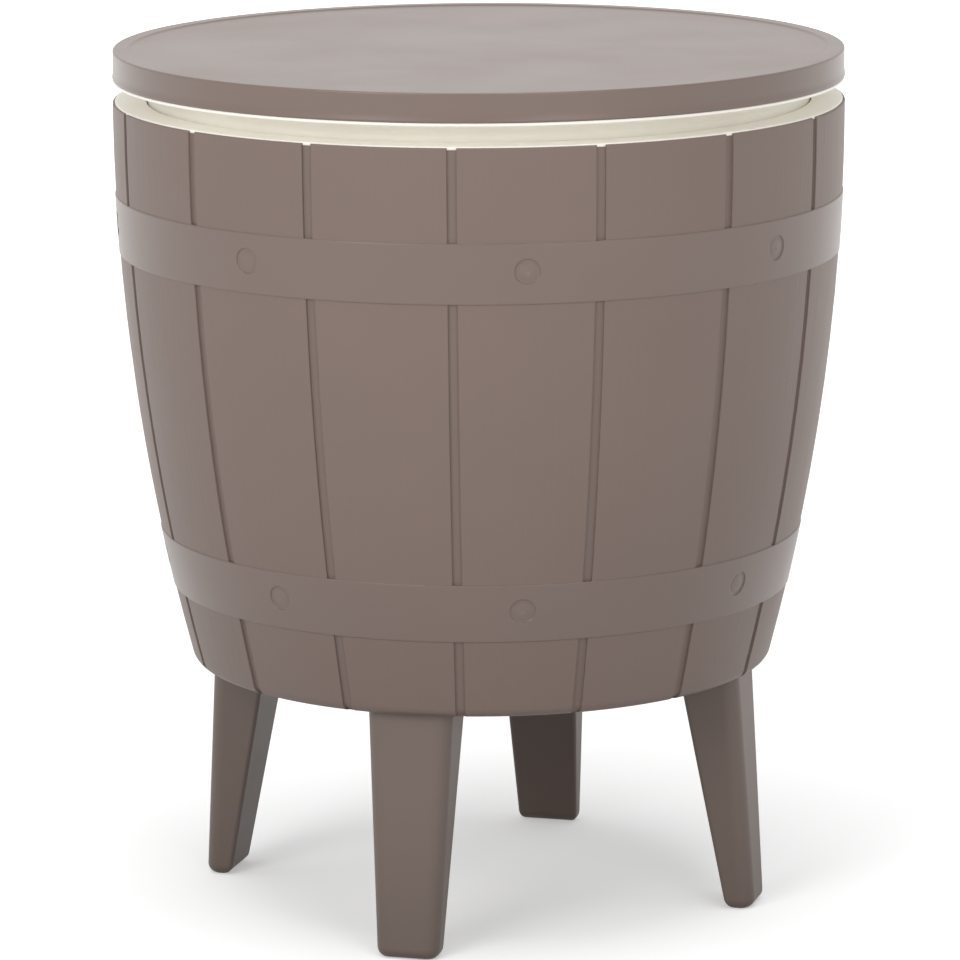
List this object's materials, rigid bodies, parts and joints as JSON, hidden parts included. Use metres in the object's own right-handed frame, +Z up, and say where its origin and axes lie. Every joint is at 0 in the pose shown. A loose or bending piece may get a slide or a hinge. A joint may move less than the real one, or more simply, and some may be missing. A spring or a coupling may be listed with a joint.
{
  "type": "cooler table with lid",
  "caption": "Barrel-shaped insulated cooler on splayed legs, whose round lid is a tabletop on a sliding pole that lifts and twists to lock as a bar table.",
  "frame": {"origin": "on the ground, in the middle of the four feet", "axes": "+Z is up along the pole, -Y is the front and +X is the right; the drain is at the back, on +Y"},
  "size_m": [0.4812, 0.4812, 0.57],
  "materials": {
    "body_plastic": "satin moulded polypropylene, taupe, with a faint wood grain on the staves",
    "tub_plastic": "satin moulded polypropylene, cream",
    "fitting_plastic": "plain dark moulded plastic",
    "insulation": null,
    "rubber": "soft black rubber",
    "steel": "stainless steel"
  },
  "bodies": {
    "barrel": {"barrel_shell": "body_plastic", "leg_front_left": "body_plastic", "leg_front_right": "body_plastic", "leg_back_left": "body_plastic", "leg_back_right": "body_plastic", "column_collar": "body_plastic", "liner_tub": "tub_plastic", "column_tube": "tub_plastic", "column_nut": "fitting_plastic", "drain_fitting": "fitting_plastic", "drain_nut": "fitting_plastic", "wall_insulation": "insulation", "floor_insulation": "insulation", "column_gasket": "rubber", "drain_gasket": "rubber", "collar_screws": "steel", "leg_screws": "steel"},
    "glide": {"glide_bush": "fitting_plastic"},
    "tabletop": {"tabletop_shell": "body_plastic", "lid_base": "tub_plastic", "lid_insulation": "insulation", "lid_seal": "rubber", "lid_screws": "steel", "pole_tube": "body_plastic", "pole_screws": "steel", "lock_foot": "fitting_plastic", "foot_pin": "steel", "bush_washer": "steel", "bush_screw": "steel"},
    "drain_plug": {"drain_plug": "fitting_plastic", "drain_ring": "rubber"}
  },
  "joints": [
    {"name": "tabletop_lift", "type": "slide", "parent": "barrel", "child": "glide", "axis": [0, 0, 1], "range_m": [0, 0.25]},
    {"name": "tabletop_twist", "type": "hinge", "parent": "glide", "child": "tabletop", "pos_m": [0, 0, 0], "axis": [0, 0, 1], "range_deg": [0, 60]},
    {"name": "drain_plug_pull", "type": "slide", "parent": "barrel", "child": "drain_plug", "axis": [0, 0, -1], "range_m": [0, 0.035]}
  ]
}
